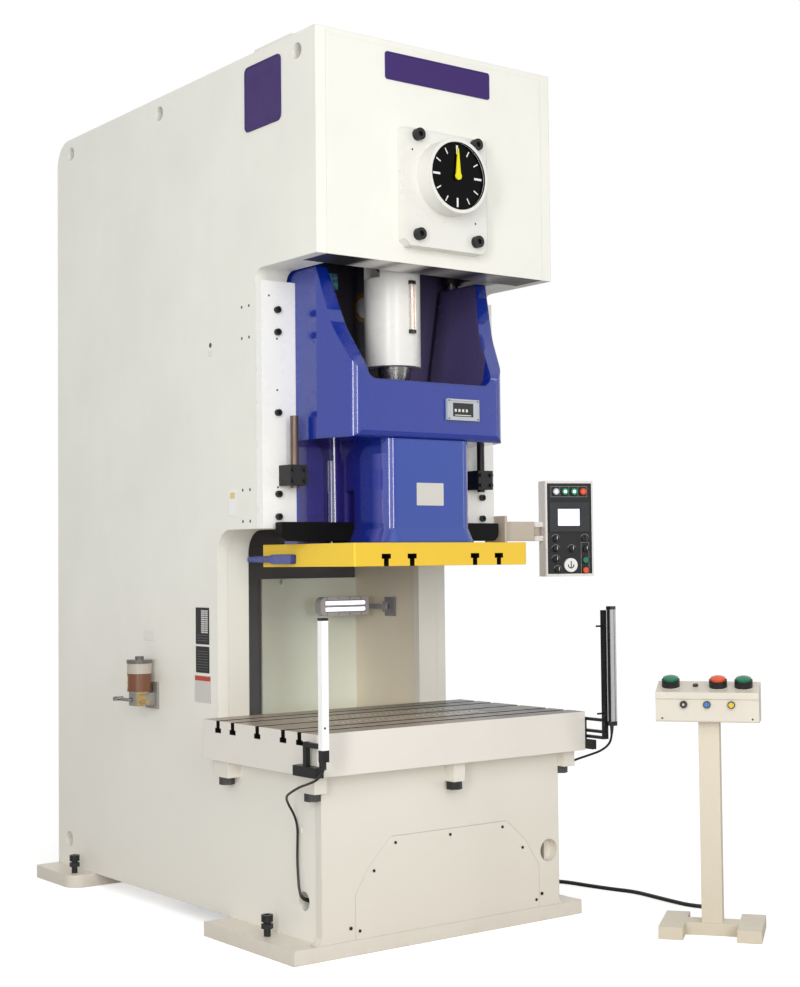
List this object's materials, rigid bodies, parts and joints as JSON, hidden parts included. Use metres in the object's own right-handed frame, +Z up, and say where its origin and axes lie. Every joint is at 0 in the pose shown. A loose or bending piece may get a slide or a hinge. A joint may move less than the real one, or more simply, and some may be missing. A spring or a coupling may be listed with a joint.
{
  "type": "mechanical stamping press",
  "caption": "Gap-frame single-crank mechanical stamping press with guided slide, slotted bolster, light curtains, swivelling control box and a tethered two-hand stand.",
  "frame": {"origin": "on the floor, on the press's centre plane, at the front face of the bed", "axes": "+Z up, +Y from the operator into the press, +X to the operator's right"},
  "size_m": [2.0121, 3.2163, 3.686],
  "materials": {
    "cream_paint": "semi-gloss enamel",
    "white_paint": "semi-gloss enamel",
    "throat_paint": "satin enamel",
    "panel_paint": "satin enamel",
    "beige_paint": "semi-gloss enamel",
    "blue_paint": "gloss enamel over a casting",
    "yellow_paint": "gloss enamel",
    "black_oxide": "black oxide and black paint",
    "machined_steel": "ground",
    "machined_top": "painted sides, machined and oiled top",
    "bronze": "bored bronze",
    "forged_steel": "forged and turned",
    "cast_gear": "cast and machined",
    "motor_paint": "grey-blue enamel",
    "belt_rubber": "matt rubber",
    "gauge_metal": "clear tube in a metal channel",
    "grey_metal": "fine texture enamel",
    "pointer_yellow": "yellow-green enamel",
    "green_plastic": "moulded",
    "red_plastic": "moulded orange-red",
    "black_plastic": "moulded",
    "curtain_metal": "extruded",
    "cable_black": "cable sheath",
    "oil_glass": "clear reservoir with brown oil over a metal base",
    "lamp_metal": "grey enamel"
  },
  "bodies": {
    "frame": {"side_plate_left": "cream_paint", "side_plate_right": "cream_paint", "throat_flanges": "cream_paint", "inner_plates": "throat_paint", "head_box": "cream_paint", "cross_walls": "throat_paint", "foot_plates": "cream_paint", "bed_front_plate": "cream_paint", "throat_panel": "panel_paint", "slide_gibs": "cream_paint", "fasteners": "black_oxide", "bolster": "machined_top", "bolster_blocks": "cream_paint", "bearing_bushes": "bronze", "drive_motor": "motor_paint", "drive_belts": "belt_rubber", "rear_guard": "cream_paint", "knockout_clamps": "black_oxide", "balance_cylinders": "black_oxide", "dial_cover_plate": "white_paint", "dial_housing": "white_paint", "control_arm": "beige_paint", "light_curtain_bars": "curtain_metal", "light_curtain_brackets": "black_oxide", "curtain_cable_left": "cable_black", "curtain_cable_right": "cable_black", "lubricator": "oil_glass", "work_lamp_bracket": "lamp_metal", "stand_post": "beige_paint", "stand_box": "beige_paint", "stand_cable": "cable_black"},
    "crank": {"crankshaft": "forged_steel", "main_gear": "cast_gear", "dial_pointer": "pointer_yellow"},
    "rod": {"connecting_rod": "cast_gear", "wrist_pin": "machined_steel"},
    "connection": {"barrel": "white_paint", "adjusting_screw": "machined_steel", "sight_gauge": "gauge_metal"},
    "slide": {"slide_casting": "blue_paint", "slide_plate": "yellow_paint", "height_indicator": "grey_metal", "balance_rods": "machined_steel", "slide_side_bar": "blue_paint"},
    "knockout": {"knockout_bar": "black_oxide"},
    "stop_rod_left": {"knockout_rod_left": "machined_steel"},
    "stop_rod_right": {"knockout_rod_right": "machined_steel"},
    "drive_shaft": {"pinion_shaft": "forged_steel", "clutch_brake_drum": "cast_gear"},
    "flywheel": {"flywheel": "cast_gear"},
    "motor_rotor": {"motor_pulley": "cast_gear"},
    "panel": {"control_box": "grey_metal"},
    "start_button": {"box_start_button": "green_plastic"},
    "stop_button": {"box_stop_button": "red_plastic"},
    "mode_selector": {"box_selector": "black_plastic"},
    "palm_left": {"palm_button_left": "green_plastic"},
    "palm_right": {"palm_button_right": "green_plastic"},
    "stand_stop": {"stand_stop_button": "red_plastic"},
    "lamp": {"work_lamp_body": "lamp_metal"},
    "pump_lever": {"lubricator_lever": "machined_steel"}
  },
  "joints": [
    {"name": "slide_stroke", "type": "slide", "parent": "frame", "child": "connection", "axis": [0, 0, 1], "range_m": [-0.2, 0]},
    {"name": "slide_adjust", "type": "slide", "parent": "connection", "child": "slide", "axis": [0, 0, 1], "range_m": [-0.098, 0.012]},
    {"name": "crank_turn", "type": "hinge", "parent": "frame", "child": "crank", "pos_m": [0, 0.335, 3.123], "axis": [0, 1, 0], "range_deg": [0, 180.01]},
    {"name": "rod_swing", "type": "hinge", "parent": "crank", "child": "rod", "pos_m": [0, 0.335, 3.223], "axis": [0, 1, 0], "range_deg": [-180.01, 0]},
    {"name": "pinion_turn", "type": "hinge", "parent": "frame", "child": "drive_shaft", "pos_m": [0, 0.7, 2.663], "axis": [0, 1, 0], "range_deg": [-855.05, 0]},
    {"name": "flywheel_turn", "type": "hinge", "parent": "frame", "child": "flywheel", "pos_m": [0, 1.985, 2.663], "axis": [0, 1, 0], "continuous": true},
    {"name": "motor_turn", "type": "hinge", "parent": "frame", "child": "motor_rotor", "pos_m": [0, 1.9, 1.5], "axis": [0, 1, 0], "continuous": true},
    {"name": "knockout_lift", "type": "slide", "parent": "slide", "child": "knockout", "axis": [0, 0, 1], "range_m": [0, 0.125]},
    {"name": "stop_rod_left_adjust", "type": "slide", "parent": "frame", "child": "stop_rod_left", "axis": [0, 0, 1], "range_m": [-0.1, 0.05]},
    {"name": "stop_rod_right_adjust", "type": "slide", "parent": "frame", "child": "stop_rod_right", "axis": [0, 0, 1], "range_m": [-0.1, 0.05]},
    {"name": "panel_swivel", "type": "hinge", "parent": "frame", "child": "panel", "pos_m": [0.862, 0.4, 1.7], "axis": [0, 0, 1], "range_deg": [-30, 60]},
    {"name": "start_press", "type": "slide", "parent": "panel", "child": "start_button", "axis": [0.3907, 0.9205, 0], "range_m": [0, 0.004], "stiffness_N_per_m": 900, "springref_m": -0.002},
    {"name": "stop_press", "type": "slide", "parent": "panel", "child": "stop_button", "axis": [0.3907, 0.9205, 0], "range_m": [0, 0.004], "stiffness_N_per_m": 900, "springref_m": -0.002},
    {"name": "mode_turn", "type": "hinge", "parent": "panel", "child": "mode_selector", "pos_m": [1.04466, 0.25459, 1.641], "axis": [0.3907, 0.9205, 0], "range_deg": [-45, 45]},
    {"name": "palm_left_press", "type": "slide", "parent": "frame", "child": "palm_left", "axis": [0.2054, 0.157, -0.966], "range_m": [0, 0.006], "stiffness_N_per_m": 900, "springref_m": -0.002},
    {"name": "palm_right_press", "type": "slide", "parent": "frame", "child": "palm_right", "axis": [0.2054, 0.157, -0.966], "range_m": [0, 0.006], "stiffness_N_per_m": 900, "springref_m": -0.002},
    {"name": "stand_stop_press", "type": "slide", "parent": "frame", "child": "stand_stop", "axis": [0.2054, 0.157, -0.966], "range_m": [0, 0.006]},
    {"name": "lamp_swing", "type": "hinge", "parent": "frame", "child": "lamp", "pos_m": [0.437, 0.99, 1.328], "axis": [0, 0, 1], "range_deg": [-8, 55]},
    {"name": "pump_stroke", "type": "hinge", "parent": "frame", "child": "pump_lever", "pos_m": [-0.74, 1.345, 0.934], "axis": [1, 0, 0], "range_deg": [0, 40]}
  ],
  "couplings": [
    {"joint": "crank_turn", "follows": "slide_stroke", "rad_per_m": -15.708},
    {"joint": "rod_swing", "follows": "slide_stroke", "rad_per_m": 15.708},
    {"joint": "pinion_turn", "follows": "slide_stroke", "rad_per_m": 74.613},
    {"joint": "motor_turn", "follows": "flywheel_turn", "ratio": 4.6612}
  ]
}
